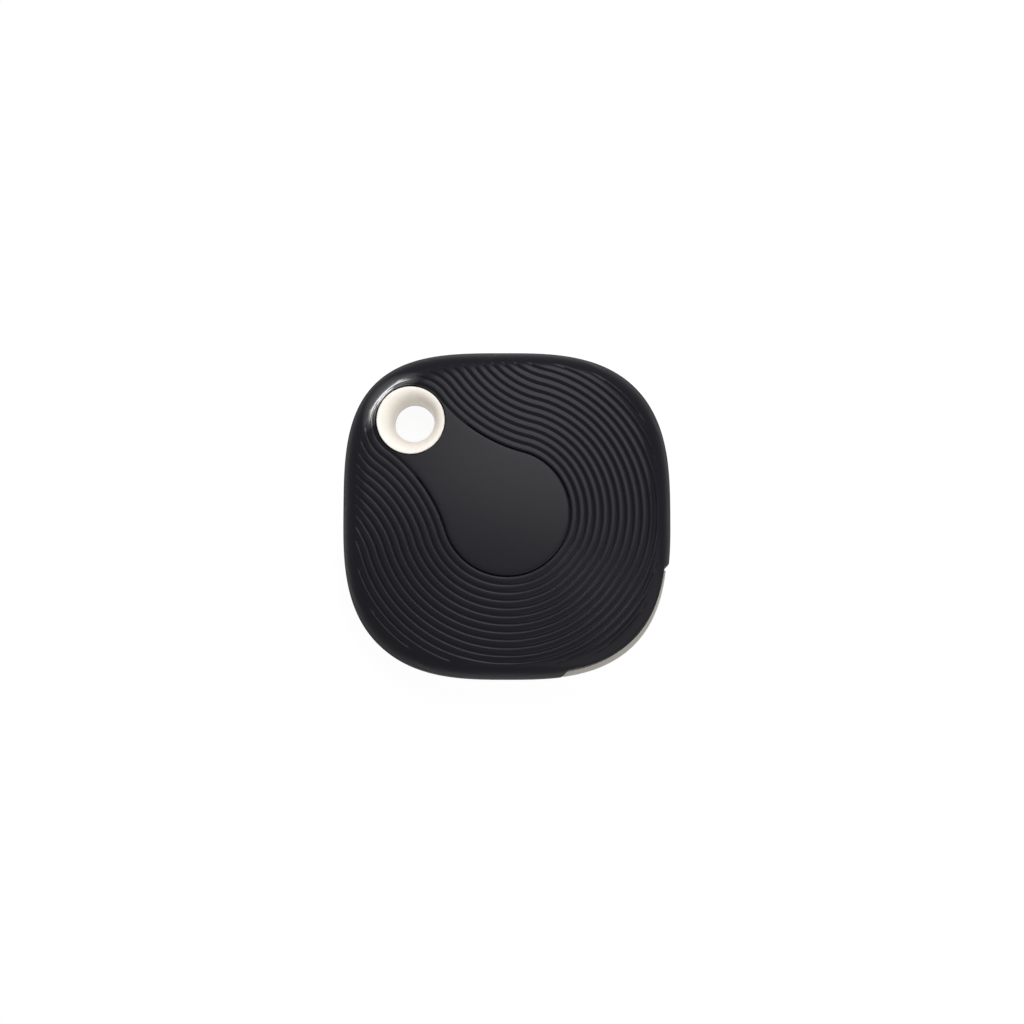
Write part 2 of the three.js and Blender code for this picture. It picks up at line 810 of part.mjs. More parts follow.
// Parts on the board: places as shares of half the body width, then length, width and height
const chipSize = [chipWide, chipWide, chipTall];
const driverSize = [driverWide, driverWide, driverTall];
const inductorSize = [inductorWide, inductorWide, inductorTall];
const crystalSize = [crystalLong, crystalWide, crystalTall];
const antennaSize = [antennaLong, antennaWide, antennaTall];
const bulkSize = [bulkLong, bulkWide, bulkTall];
const smallSize = [smallLong, smallWide, smallTall];
const boardParts = [
  { name: "radio_chip", share: [0.42, 0.34], size: chipSize, material: darkPlastic },
  { name: "timing_crystal", share: [0.12, 0.46], size: crystalSize, material: steel },
  { name: "chip_antenna", share: [0.25, 0.7], size: antennaSize, material: tanCeramic },
  { name: "antenna_coil", share: [-0.02, 0.64], size: smallSize, material: whiteCeramic },
  { name: "buzzer_driver", share: [-0.4, -0.4], size: driverSize, material: darkPlastic },
  { name: "boost_inductor", share: [0.52, -0.2], size: inductorSize, material: darkPlastic },
  { name: "bulk_capacitor", share: [-0.12, -0.64], size: bulkSize, material: tanCeramic },
  { name: "filter_capacitor_1", share: [0.66, 0.12], size: smallSize, material: tanCeramic },
  { name: "filter_capacitor_2", share: [0.66, 0.02], size: smallSize, material: tanCeramic },
  { name: "filter_capacitor_3", share: [0.1, -0.5], size: smallSize, material: tanCeramic },
  { name: "filter_capacitor_4", share: [0.24, -0.5], size: smallSize, material: tanCeramic },
];
for (const part of boardParts) {
  const spot = part.share.map((value) => value * halfWidth);
  const [long, wide, tall] = part.size;
  addPiece(part.name, box(long, wide, boardTop, boardTop + tall, spot), part.material);
}

export default tag;
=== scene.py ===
import math

import bmesh
import bpy
import numpy as np
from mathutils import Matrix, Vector


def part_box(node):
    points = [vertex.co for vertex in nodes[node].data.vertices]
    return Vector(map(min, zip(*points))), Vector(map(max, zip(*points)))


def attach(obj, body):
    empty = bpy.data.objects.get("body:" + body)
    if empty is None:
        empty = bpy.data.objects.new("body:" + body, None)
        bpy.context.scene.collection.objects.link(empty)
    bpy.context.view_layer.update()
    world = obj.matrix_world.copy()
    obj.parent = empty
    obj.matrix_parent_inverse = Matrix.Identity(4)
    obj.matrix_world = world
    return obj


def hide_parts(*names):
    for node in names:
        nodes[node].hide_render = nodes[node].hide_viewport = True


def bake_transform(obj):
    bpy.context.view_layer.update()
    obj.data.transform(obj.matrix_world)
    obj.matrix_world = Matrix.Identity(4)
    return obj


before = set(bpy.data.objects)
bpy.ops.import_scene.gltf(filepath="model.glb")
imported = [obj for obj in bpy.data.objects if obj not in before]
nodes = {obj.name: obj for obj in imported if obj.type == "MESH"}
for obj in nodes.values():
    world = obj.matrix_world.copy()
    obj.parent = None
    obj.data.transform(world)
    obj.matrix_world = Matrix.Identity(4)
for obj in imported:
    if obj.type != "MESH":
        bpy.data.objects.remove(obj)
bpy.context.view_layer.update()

# A radio tracker tag, 40 mm across: an ivory rear shell with the key-ring eyelet, a black ribbed
# front cover that presses at its middle, and the works of a coin cell tracker inside.
# Metres, +Z out of the front face, built in the order in which the tag is put together.
mm = 0.001
scene = bpy.context.scene
scene.view_settings.view_transform = "Standard"

# Camera: almost straight above the tag, leaning a little towards the edge that is lowest in
# the picture. The lens is set by the size of a pixel at the middle of the tag.
picture_width = 1024
pixel_size = 0.12325 * mm
camera_distance = 250 * mm
camera_elevation = math.radians(84)
camera_aim = Vector((0.626, 0.586, 5)) * mm
camera_data = bpy.data.cameras.new("camera")
camera = bpy.data.objects.new("camera", camera_data)
scene.collection.objects.link(camera)
scene.camera = camera
towards_camera = Vector((0, -math.cos(camera_elevation), math.sin(camera_elevation)))
camera.location = camera_aim + towards_camera * camera_distance
camera.rotation_euler = (math.pi / 2 - camera_elevation, 0, 0)
camera_data.lens = camera_data.sensor_width * camera_distance / (picture_width * pixel_size)
camera_data.clip_start = 10 * mm
camera_data.clip_end = 10

# Short forms for the nodes that the finishes share, with sizes in millimetres.


def math_node(tree, operation, *values):
    """The output of one sum, whose values are numbers or other nodes' outputs"""
    node = tree.nodes.new("ShaderNodeMath")
    node.operation = operation
    for i, value in enumerate(values):
        if isinstance(value, (int, float)):
            node.inputs[i].default_value = value
        else:
            tree.links.new(value, node.inputs[i])
    return node.outputs[0]


def remap(tree, value, low, high, start=0, stop=1):
    """Low where the value is at start, high where it is at stop, and held between the two"""
    node = tree.nodes.new("ShaderNodeMapRange")
    tree.links.new(value, node.inputs["Value"])
    node.inputs["From Min"].default_value = start
    node.inputs["From Max"].default_value = stop
    node.inputs["To Min"].default_value = low
    node.inputs["To Max"].default_value = high
    return node.outputs["Result"]


def uneven(tree, value, middle, spread):
    """A value that strays from its middle by a share of it"""
    return remap(tree, value, middle * (1 - spread), middle * (1 + spread))


def noise(tree, vector, size, detail):
    node = tree.nodes.new("ShaderNodeTexNoise")
    node.inputs["Scale"].default_value = 1 / (size * mm)
    node.inputs["Detail"].default_value = detail
    tree.links.new(vector, node.inputs["Vector"])
    return node.outputs["Fac"]


def length_of(tree, vector):
    node = tree.nodes.new("ShaderNodeVectorMath")
    node.operation = "LENGTH"
    tree.links.new(vector, node.inputs[0])
    return node.outputs["Value"]


def paint(tree, shader, colour, brightness):
    """Colours the shader with a colour, given or from a node, times a node's output"""
    node = tree.nodes.new("ShaderNodeVectorMath")
    node.operation = "SCALE"
    if isinstance(colour, tuple):
        node.inputs[0].default_value = colour[:3]
    else:
        tree.links.new(colour, node.inputs[0])
    tree.links.new(brightness, node.inputs["Scale"])
    tree.links.new(node.outputs["Vector"], shader.inputs["Base Color"])


def relief(tree, shader, height, strength, depth):
    node = tree.nodes.new("ShaderNodeBump")
    node.inputs["Strength"].default_value = strength
    node.inputs["Distance"].default_value = depth * mm
    tree.links.new(height, node.inputs["Height"])
    tree.links.new(node.outputs["Normal"], shader.inputs["Normal"])


def new_finish(name):
    """A material, its node tree, its shader and the place on the piece"""
    material = bpy.data.materials.new(name)
    material.use_nodes = True
    tree = material.node_tree
    spot = tree.nodes.new("ShaderNodeTexCoord").outputs["Object"]
    return material, tree, tree.nodes["Principled BSDF"], spot


# Studio: a world that is white to the camera and dimmer as a light, and three soft boxes. The key
# box leans in from the back and lightens the black face towards it, the small one puts a streak
# beside the eyelet, and the low one faces the pry notch.
fill_strength = 0.33
fill_colour = (0.98, 0.99, 1, 1)


def shows_plainly(tree):
    """1 for camera, clear and mirrored rays, and 0 for the rays that only carry light"""
    rays = tree.nodes.new("ShaderNodeLightPath").outputs
    seen = math_node(tree, "MAXIMUM", rays["Is Camera Ray"], rays["Is Transmission Ray"])
    return math_node(tree, "MAXIMUM", seen, rays["Is Glossy Ray"])


world = bpy.data.worlds.new("studio")
scene.world = world
world.use_nodes = True
tree = world.node_tree
tree.nodes.clear()
output = tree.nodes.new("ShaderNodeOutputWorld")
mixer = tree.nodes.new("ShaderNodeMixShader")
white = tree.nodes.new("ShaderNodeBackground")
fill = tree.nodes.new("ShaderNodeBackground")
fill.inputs["Strength"].default_value = fill_strength
white.inputs["Color"].default_value = (1, 1, 1, 1)
fill.inputs["Color"].default_value = fill_colour
tree.links.new(shows_plainly(tree), mixer.inputs[0])
tree.links.new(fill.outputs[0], mixer.inputs[1])
tree.links.new(white.outputs[0], mixer.inputs[2])
tree.links.new(mixer.outputs[0], output.inputs[0])

soft_boxes = [
    {"name": "key_box", "lean": 28, "turn": 77, "away": 120, "size": (44, 98), "watts": 0.077},
    {"name": "corner_box", "lean": 51, "turn": 133, "away": 70, "size": (22, 15), "watts": 0.0085},
    {"name": "low_box", "lean": 55, "turn": -42, "away": 300, "size": (420, 300), "watts": 0.42},
]
for soft_box in soft_boxes:
    lamp = bpy.data.lights.new(soft_box["name"], "AREA")
    lamp.shape = "RECTANGLE"
    lamp.size = soft_box["size"][0] * mm
    lamp.size_y = soft_box["size"][1] * mm
    lamp.energy = soft_box["watts"]
    holder = bpy.data.objects.new(soft_box["name"], lamp)
    scene.collection.objects.link(holder)
    lean = math.radians(soft_box["lean"])
    turn = math.radians(soft_box["turn"])
    aside = math.sin(lean)
    way = Vector((aside * math.cos(turn), aside * math.sin(turn), math.cos(lean)))
    holder.location = way * soft_box["away"] * mm
    holder.rotation_euler = (-holder.location).to_track_quat("-Z", "Y").to_euler()

# Table: a plain white sheet under the tag, white to the camera where nothing shades it.
table_half = 1.5
table_grey = 0.86
table_shown_grey = 0.12
table_glow = 0.93
table_mesh = bpy.data.meshes.new("table")
corners = [(-table_half, -table_half), (table_half, -table_half)]
corners += [(table_half, table_half), (-table_half, table_half)]
table_mesh.from_pydata([(x, y, 0) for x, y in corners], [], [(0, 1, 2, 3)])
table = bpy.data.objects.new("table", table_mesh)
scene.collection.objects.link(table)
table_paint = bpy.data.materials.new("table_white")
table_paint.use_nodes = True
tree = table_paint.node_tree
tree.nodes.clear()
output = tree.nodes.new("ShaderNodeOutputMaterial")
chosen = tree.nodes.new("ShaderNodeMixShader")
added = tree.nodes.new("ShaderNodeAddShader")
sheet = tree.nodes.new("ShaderNodeBsdfDiffuse")
sheet.inputs["Color"].default_value = (table_grey, table_grey, table_grey, 1)
shaded = tree.nodes.new("ShaderNodeBsdfDiffuse")
shaded.inputs["Color"].default_value = (table_shown_grey, table_shown_grey, table_shown_grey, 1)
glow = tree.nodes.new("ShaderNodeEmission")
glow.inputs["Strength"].default_value = table_glow
tree.links.new(shaded.outputs[0], added.inputs[0])
tree.links.new(glow.outputs[0], added.inputs[1])
tree.links.new(shows_plainly(tree), chosen.inputs[0])
tree.links.new(sheet.outputs[0], chosen.inputs[1])
tree.links.new(added.outputs[0], chosen.inputs[2])
tree.links.new(chosen.outputs[0], output.inputs[0])
table_mesh.materials.append(table_paint)

# Rear shell: ivory plastic moulding with a flat back, rounded edge, a lip that the cover slips
# over, a ledge that shows in the pry notch, and a hole that holds the eyelet.
ivory_colour = (0.8, 0.75, 0.68, 1)
corner_power = 2.9
ring_corner_power = 3.3
outline_steps = 256
shell_low, shell_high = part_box("rear_shell")
cover_low, cover_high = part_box("front_cover")
half_width = cover_high.x / mm
parting_height = cover_low.z / mm
face_height = cover_high.z / mm
shell_half = -shell_low.x / mm
lip_top = shell_high.z / mm
shell_draft = 0.2
shell_round_wide = 2.6
shell_round_deep = 2.4
shell_round_steps = 16
shell_floor = 1.2
floor_corner = 1
lip_half = 18.45
lip_wall = 1
lip_bevel = 0.12
ledge_from = -70.5
ledge_to = -18.4
ledge_thick = 1.2
ledge_half = 19.95
ledge_root = 1
ledge_drop = 0.001
ledge_steps = 60
cut_over = 1
sharp_angle = 38
same_spot = 0.001
fit_gap = 0.15
eyelet_low, eyelet_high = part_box("ring_eyelet")
eyelet_place = [(eyelet_low[i] + eyelet_high[i]) / 2 / mm for i in range(2)]
eyelet_shoulder = (eyelet_high.x - eyelet_low.x) / 2 / mm
funnel_radius = 4.15


def superellipse(half, corner, angles):
    """Points of the tag's outline; only the eyelet's corner has a power of its own"""
    across = np.cos(angles)
    up = np.sin(angles)
    power = np.where((across < 0) & (up > 0), corner, corner_power)
    reach = half / (np.abs(across) ** power + np.abs(up) ** power) ** (1 / power)
    return np.stack([reach * across, reach * up], 1)


def squircle(half):
    turn = np.linspace(0, 2 * np.pi, outline_steps, endpoint=False)
    return superellipse(half, ring_corner_power, turn)


def circle(radius, centre=(0, 0), steps=outline_steps // 2):
    turn = np.linspace(0, 2 * np.pi, steps, endpoint=False)
    return np.stack([centre[0] + radius * np.cos(turn), centre[1] + radius * np.sin(turn)], 1)


def add_mesh(name, work, sharp_degrees=sharp_angle):
    """Closes a bmesh in millimetres into an object with outward faces and soft shading"""
    bmesh.ops.remove_doubles(work, verts=work.verts, dist=same_spot)
    bmesh.ops.recalc_face_normals(work, faces=work.faces)
    bmesh.ops.scale(work, vec=(mm, mm, mm), verts=work.verts)
    mesh = bpy.data.meshes.new(name)
    work.to_mesh(mesh)
    work.free()
    mesh.shade_smooth()
    mesh.set_sharp_from_angle(angle=math.radians(sharp_degrees))
    piece = bpy.data.objects.new(name, mesh)
    scene.collection.objects.link(piece)
    return piece


def loft(name, rings, closed=False, sharp_degrees=sharp_angle):
    """A solid through outlines of equal count, each with its height in millimetres"""
    work = bmesh.new()
    rows = []
    for points, height in rings:
        rows.append([work.verts.new((x, y, height)) for x, y in points])
    count = len(rows[0])
    bands = list(zip(rows, rows[1:]))
    if closed:
        bands.append((rows[-1], rows[0]))
    for lower, upper in bands:
        for i in range(count):
            k = (i + 1) % count
            work.faces.new((lower[i], lower[k], upper[k], upper[i]))
    if not closed:
        work.faces.new(rows[0])
        work.faces.new(rows[-1])
    return add_mesh(name, work, sharp_degrees)


def bake(piece):
    """Makes a piece's modifiers part of its mesh"""
    depsgraph = bpy.context.evaluated_depsgraph_get()
    made = bpy.data.meshes.new_from_object(piece.evaluated_get(depsgraph))
    piece.modifiers.clear()
    piece.data = made


def carve(piece, other, operation="DIFFERENCE"):
    """Cuts another solid out of a piece, or joins it on"""
    cut = piece.modifiers.new("carve", "BOOLEAN")
    cut.operation = operation
    cut.solver = "EXACT"
    cut.object = other
    bake(piece)
    bpy.data.objects.remove(other)


grain_detail = 3
mottle_size = 7
mottle_detail = 2
plastic_gloss_spread = 0.1
plastic_bump = 0.5


def plastic(name, colour, roughness, grain_size, grain_depth, mottle=0.04, specular=0.5):
    """Moulded plastic: a fine spark-eroded grain, and colour and gloss that vary a little"""
    material, tree, shader, spot = new_finish(name)
    shader.inputs["Specular IOR Level"].default_value = specular
    grain = noise(tree, spot, grain_size, grain_detail)
    cloud = noise(tree, spot, mottle_size, mottle_detail)
    paint(tree, shader, colour, uneven(tree, cloud, 1, mottle))
    gloss = uneven(tree, grain, roughness, plastic_gloss_spread)
    tree.links.new(gloss, shader.inputs["Roughness"])
    relief(tree, shader, grain, plastic_bump, grain_depth)
    return material


ivory = plastic("ivory_plastic", ivory_colour, 0.32, 0.5, 0.002, mottle=0.015)
shell_rings = []
for i in range(shell_round_steps + 1):
    turn = math.pi * i / (2 * shell_round_steps)
    half = shell_half - shell_draft - shell_round_wide * (1 - math.sin(turn))
    shell_rings.append((squircle(half), shell_round_deep * (1 - math.cos(turn))))
flat_half = shell_half - shell_draft - shell_round_wide
shell_rings.insert(0, (squircle(flat_half - fit_gap), 0))
shell_rings += [
    (squircle(shell_half - lip_bevel / 2), parting_height - lip_bevel),
    (squircle(shell_half - lip_bevel), parting_height),
    (squircle(lip_half), parting_height),
    (squircle(lip_half), lip_top - lip_bevel),
    (squircle(lip_half - lip_bevel), lip_top),
    (squircle(lip_half - lip_wall + lip_bevel), lip_top),
    (squircle(lip_half - lip_wall), lip_top - lip_bevel),
    (squircle(lip_half - lip_wall), shell_floor + floor_corner),
    (squircle(lip_half - lip_wall - floor_corner / 3), shell_floor + floor_corner / 3),
    (squircle(lip_half - lip_wall - floor_corner), shell_floor),
]
rear_skin = loft("rear_skin", shell_rings)
ledge_turn = np.radians(np.linspace(ledge_from, ledge_to, ledge_steps))
ledge_outline = np.concatenate(
    [
        superellipse(ledge_half, ring_corner_power, ledge_turn),
        superellipse(shell_half - shell_draft - ledge_root, ring_corner_power, ledge_turn[::-1]),
    ]
)
ledge_low = parting_height - ledge_thick
ledge_top = parting_height - ledge_drop
ledge = loft("ledge", [(ledge_outline, ledge_low), (ledge_outline, ledge_top)])
carve(rear_skin, ledge, "UNION")
hole = circle(funnel_radius + fit_gap, eyelet_place)
seat = circle(eyelet_shoulder + fit_gap, eyelet_place)
carve(rear_skin, loft("hole", [(hole, -cut_over), (hole, shell_floor + cut_over)]))
carve(rear_skin, loft("seat", [(seat, shell_floor), (seat, lip_top + cut_over)]))
rear_skin.data.shade_smooth()
rear_skin.data.set_sharp_from_angle(angle=math.radians(sharp_angle))
rear_skin.data.materials.clear()
rear_skin.data.materials.append(ivory)
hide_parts("rear_shell")
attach(rear_skin, "rear")

# Key-ring eyelet: ivory barrel through the corner, turned out at the front into a funnel and
# at the back into a deeper, narrower flare. The bore sits a little to one side of the funnel.
bore_radius = 2.45
bore_shift = (0.35, 0.1)
funnel_lip = 0.12
lip_steps = 5
rim_sharp_angle = 50
funnel_depth = 2.8
funnel_steps = 28
flare_radius = 3.5
flare_depth = 4.6
flare_steps = 8
eyelet_top = eyelet_high.z / mm
bore_place = [eyelet_place[i] + bore_shift[i] for i in range(2)]
eyelet_rings = [
    (circle(funnel_radius - lip_bevel, eyelet_place), 0),
    (circle(funnel_radius, eyelet_place), lip_bevel),
    (circle(funnel_radius, eyelet_place), shell_floor),
    (circle(eyelet_shoulder, eyelet_place), shell_floor),
    (circle(eyelet_shoulder, eyelet_place), lip_top),
    (circle(funnel_radius, eyelet_place), lip_top),
    (circle(funnel_radius, eyelet_place), eyelet_top - funnel_lip),
]
for i in range(1, lip_steps + 1):
    turn = math.pi * i / (2 * lip_steps)
    out = funnel_radius - funnel_lip * (1 - math.cos(turn))
    eyelet_rings.append((circle(out, eyelet_place), eyelet_top - funnel_lip * (1 - math.sin(turn))))
for i in range(1, funnel_steps + 1):
    turn = math.pi * i / (2 * funnel_steps)
    share = math.sin(turn)
    radius = bore_radius + (funnel_radius - funnel_lip - bore_radius) * (1 - share)
    centre = [eyelet_place[k] + bore_shift[k] * share for k in range(2)]
    eyelet_rings.append((circle(radius, centre), eyelet_top - funnel_depth * (1 - math.cos(turn))))
for i in range(flare_steps + 1):
    share = i / flare_steps
    centre = [bore_place[k] - bore_shift[k] * share for k in range(2)]
    radius = bore_radius + (flare_radius - bore_radius) * share
    eyelet_rings.append((circle(radius, centre), flare_depth * (1 - share) + funnel_lip))
for i in range(1, lip_steps + 1):
    turn = math.pi * i / (2 * lip_steps)
    out = flare_radius + funnel_lip * (1 - math.cos(turn))
    eyelet_rings.append((circle(out, eyelet_place), funnel_lip * (1 - math.sin(turn))))
eyelet_skin = loft("eyelet_skin", eyelet_rings, closed=True, sharp_degrees=rim_sharp_angle)
eyelet_skin.data.materials.append(ivory)
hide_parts("ring_eyelet")
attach(eyelet_skin, "rear")

# Sounder: a brass disc glued flat to the back wall, with a smaller piezo ceramic disc on it that
# carries a silvered electrode and leaves a bare ceramic edge.
brass_colour = (0.62, 0.43, 0.16, 1)
ceramic_colour = (0.78, 0.75, 0.68, 1)
silver_colour = (0.72, 0.72, 0.7, 1)
electrode_border = 0.9
rolling_stretch = (1, 6, 1)
scratch_detail = 4
scratch_depth = 0.001
metal_gloss_spread = 0.25
metal_shades = (0.9, 1.05)
metal_bump = 0.4
fired_grain_size = 0.4
fired_grain_detail = 3
fired_grain_depth = 0.002
fired_shades = (0.88, 1.08)


def metal(name, colour, roughness, scratch_size):
    """Rolled or stamped sheet metal: faint uneven gloss and fine scratches"""
    material, tree, shader, spot = new_finish(name)
    shader.inputs["Metallic"].default_value = 1
    stretch = tree.nodes.new("ShaderNodeMapping")
    stretch.inputs["Scale"].default_value = rolling_stretch
    tree.links.new(spot, stretch.inputs["Vector"])
    scratch = noise(tree, stretch.outputs["Vector"], scratch_size, scratch_detail)
    gloss = uneven(tree, scratch, roughness, metal_gloss_spread)
    tree.links.new(gloss, shader.inputs["Roughness"])
    paint(tree, shader, colour, remap(tree, scratch, *metal_shades))
    relief(tree, shader, scratch, metal_bump, scratch_depth)
    return material


def dress(name, material):
    """Gives a CAD node a finish made for it"""
    slots = nodes[name].data.materials
    slots.clear()
    slots.append(material)


def middle_of(name):
    low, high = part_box(name)
    return (low + high) / 2


def two_tone(name, inner, outer, centre, half, axes, metallic, roughness):
    """Two finishes on one part, split where the distance from its centre along the given axes
    passes half, such as an electrode on a disc or the metal ends of a chip"""
    material, tree, shader, spot = new_finish(name)
    shader.inputs["Roughness"].default_value = roughness
    centred = tree.nodes.new("ShaderNodeMapping")
    centred.inputs["Location"].default_value = [-c * a for c, a in zip(centre, axes)]
    centred.inputs["Scale"].default_value = axes
    tree.links.new(spot, centred.inputs["Vector"])
    away = length_of(tree, centred.outputs["Vector"])
    beyond = math_node(tree, "GREATER_THAN", away, half)
    pick = tree.nodes.new("ShaderNodeMix")
    pick.data_type = "RGBA"
    pick.inputs["A"].default_value = inner
    pick.inputs["B"].default_value = outer
    tree.links.new(beyond, pick.inputs["Factor"])
    cloud = noise(tree, spot, fired_grain_size, fired_grain_detail)
    paint(tree, shader, pick.outputs["Result"], remap(tree, cloud, *fired_shades))
    tree.links.new(remap(tree, beyond, *metallic), shader.inputs["Metallic"])
    relief(tree, shader, cloud, metal_bump, fired_grain_depth)
    return material


dress("buzzer_plate", metal("buzzer_brass", brass_colour, 0.35, 0.6))
ceramic_low, ceramic_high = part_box("buzzer_ceramic")
electrode_half = (ceramic_high.x - ceramic_low.x) / 2 - electrode_border * mm
dress(
    "buzzer_ceramic",
    two_tone(
        "silvered_ceramic",
        silver_colour,
        ceramic_colour,
        middle_of("buzzer_ceramic"),
        electrode_half,
        (1, 1, 0),
        metallic=(0.9, 0),
        roughness=0.45,
    ),
)

# Gasket: a black silicone ring on the lip, with a collar round the eyelet.
rubber_colour = (0.055, 0.058, 0.062, 1)
dress("perimeter_gasket", plastic("seal_rubber", rubber_colour, 0.75, 0.25, 0.003))

# Inner frame: black moulded carrier under the board, with the well that holds the coin cell.
carrier_colour = (0.028, 0.029, 0.032, 1)
dress("inner_frame", plastic("frame_plastic", carrier_colour, 0.55, 0.35, 0.004))

# Coin cell: a drawn steel can and cap, crimped over a dark plastic sealing ring.
steel_colour = (0.62, 0.62, 0.61, 1)
dress("coin_cell_can", metal("can_steel", steel_colour, 0.26, 0.9))
dress("coin_cell_cap", metal("cap_steel", steel_colour, 0.34, 0.5))
dress("coin_cell_seal", plastic("seal_ring_plastic", rubber_colour, 0.6, 0.2, 0.002))

# Cell contacts and sounder springs: stamped strip, nickel plated steel and gold plated bronze.
nickel_colour = (0.66, 0.64, 0.6, 1)
gold_colour = (0.78, 0.56, 0.24, 1)
dress("positive_clip", metal("clip_nickel", nickel_colour, 0.28, 0.4))
dress("negative_contact", metal("contact_nickel", nickel_colour, 0.3, 0.4))
dress("buzzer_spring_ceramic", metal("spring_gold", gold_colour, 0.3, 0.3))
dress("buzzer_spring_brass", nodes["buzzer_spring_ceramic"].data.materials[0])

# Circuit board: glass fibre laminate under green solder mask, with covered tracks that show as
# lighter lines, and bare laminate at its cut edge.
mask_colour = (0.012, 0.085, 0.045, 1)
track_colour = (0.03, 0.17, 0.085, 1)
laminate_colour = (0.42, 0.36, 0.2, 1)
track_pitch = 1.1
track_wide = 0.09
track_run = 4
track_relief = 0.03
mask_thick = 0.03
mask_roughness = 0.32
board_low, board_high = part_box("circuit_board")
board_paint, tree, shader, spot = new_finish("solder_mask")
shader.inputs["Roughness"].default_value = mask_roughness
tracks = tree.nodes.new("ShaderNodeTexBrick")
tracks.inputs["Scale"].default_value = 1 / mm
tracks.inputs["Mortar Size"].default_value = track_wide
tracks.inputs["Brick Width"].default_value = track_pitch * track_run
tracks.inputs["Row Height"].default_value = track_pitch
tracks.inputs["Color1"].default_value = mask_colour
tracks.inputs["Color2"].default_value = mask_colour
tracks.inputs["Mortar"].default_value = track_colour
axes = tree.nodes.new("ShaderNodeSeparateXYZ")
tree.links.new(spot, tracks.inputs["Vector"])
tree.links.new(spot, axes.inputs["Vector"])
level = math_node(tree, "SUBTRACT", axes.outputs["Z"], (board_low.z + board_high.z) / 2)
mask_level = (board_high.z - board_low.z) / 2 - mask_thick * mm
inside = math_node(tree, "LESS_THAN", math_node(tree, "ABSOLUTE", level), mask_level)
pick = tree.nodes.new("ShaderNodeMix")
pick.data_type = "RGBA"
pick.inputs["B"].default_value = laminate_colour
tree.links.new(inside, pick.inputs["Factor"])
tree.links.new(tracks.outputs["Color"], pick.inputs["A"])
tree.links.new(pick.outputs["Result"], shader.inputs["Base Color"])
relief(tree, shader, tracks.outputs["Fac"], plastic_bump, track_relief)
dress("circuit_board", board_paint)

# Parts on the board: epoxy chip packages, a metal-lidded crystal, a ceramic aerial, a wound
# coil, a ferrite inductor and ceramic capacitors with tinned ends.
epoxy_colour = (0.022, 0.022, 0.024, 1)
ferrite_colour = (0.075, 0.07, 0.07, 1)
capacitor_colour = (0.4, 0.27, 0.14, 1)
aerial_colour = (0.7, 0.68, 0.62, 1)
tin_colour = (0.66, 0.66, 0.64, 1)
copper_colour = (0.7, 0.34, 0.18, 1)
tin_end = 0.3
crystal_base_share = 0.6
chip_epoxy = plastic("chip_epoxy", epoxy_colour, 0.5, 0.15, 0.003)
dress("radio_chip", chip_epoxy)
dress("buzzer_driver", chip_epoxy)
dress("antenna_coil", metal("coil_copper", copper_colour, 0.35, 0.2))
tinned_parts = [
    {"name": "chip_antenna", "body": aerial_colour},
    {"name": "boost_inductor", "body": ferrite_colour},
    {"name": "bulk_capacitor", "body": capacitor_colour},
    {"name": "filter_capacitor_1", "body": capacitor_colour},
    {"name": "filter_capacitor_2", "body": capacitor_colour},
    {"name": "filter_capacitor_3", "body": capacitor_colour},
    {"name": "filter_capacitor_4", "body": capacitor_colour},
]
for part in tinned_parts:
    low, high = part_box(part["name"])
    size = high - low
    along = (1, 0, 0) if size.x >= size.y else (0, 1, 0)
    half = max(size.x, size.y) / 2 - tin_end * mm
    finish = two_tone(
        part["name"] + "_finish",
        part["body"],
        tin_colour,
        middle_of(part["name"]),
        half,
        along,
        metallic=(0, 0.9),
        roughness=0.42,
    )
    dress(part["name"], finish)
low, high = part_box("timing_crystal")
dress(
    "timing_crystal",
    two_tone(
        "crystal_finish",
        ceramic_colour,
        nickel_colour,
        Vector((0, 0, low.z)),
        (high.z - low.z) * crystal_base_share,
        (0, 0, 1),
        metallic=(0, 0.95),
        roughness=0.3,
    ),
)

# Press switch: a moulded base with a snapping steel dome, a stamped frame and a short plunger.
switch_colour = (0.03, 0.03, 0.032, 1)
plunger_colour = (0.5, 0.49, 0.46, 1)
dress("switch_base", plastic("switch_plastic", switch_colour, 0.5, 0.2, 0.003))
dress("switch_dome", metal("dome_steel", steel_colour, 0.22, 0.3))
dress("switch_frame", metal("switch_nickel", nickel_colour, 0.3, 0.3))
dress("switch_plunger", plastic("plunger_plastic", plunger_colour, 0.5, 0.2, 0.003))

# Front cover: black plastic, moulded with a fine satin grain. Its face is flat, its edge rounds
# down to the skirt, and its ribs run side by side round a keyhole that holds disc and eyelet.
black_colour = (0.0047, 0.0048, 0.0078, 1)
black_roughness = 0.25
skirt_rougher = 0.45
coarse_from = 9
coarse_to = 7.8
rubbed_from = 2.6
rubbed_to = 3.8
rubbed_far = 6
rubbed_near = 4.5
rubbed_height = 10
rubbed_roughness = 0.12
rubbed_index = 2
disc_radius = 7.7
neck_curve = 19
rim_border = 0.4
rim_radius = funnel_radius + rim_border
hole_radius = funnel_radius + fit_gap
eyelet_reach = math.hypot(*eyelet_place)
ring_turn = math.atan2(eyelet_place[1], eyelet_place[0])
face_round_wide = 2.75
face_round_deep = 2.6
face_round_steps = 14
skirt_draft = 0.05
face_half = half_width - skirt_draft - face_round_wide
skirt_half = 18.6
upper_half = 17.6
gasket_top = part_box("perimeter_gasket")[1].z / mm
tongue_thick = 1.5
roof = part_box("press_tongue")[1].z / mm - tongue_thick
roof_corner = 0.3
roof_overlap = 0.1
notch_from = math.radians(-71.5)
notch_to = math.radians(-17.4)
notch_half = 19.4
notch_ease = (0.055, 0.02)
pry_half_angle = math.radians(7)
pry_ease = 0.02
pry_height = 0.8
skirt_bevel = 0.1
skirt_hollow = 0.02
edge_inset = 0.03
edge_share_most = 0.97
edge_sample_share = 0.9
hinge_reach = 10.57
slot_half = 0.05
slot_fade_in = 0.2
slot_fade_out = 0.6
slot_step = 0.02
groove_pitch = 0.95
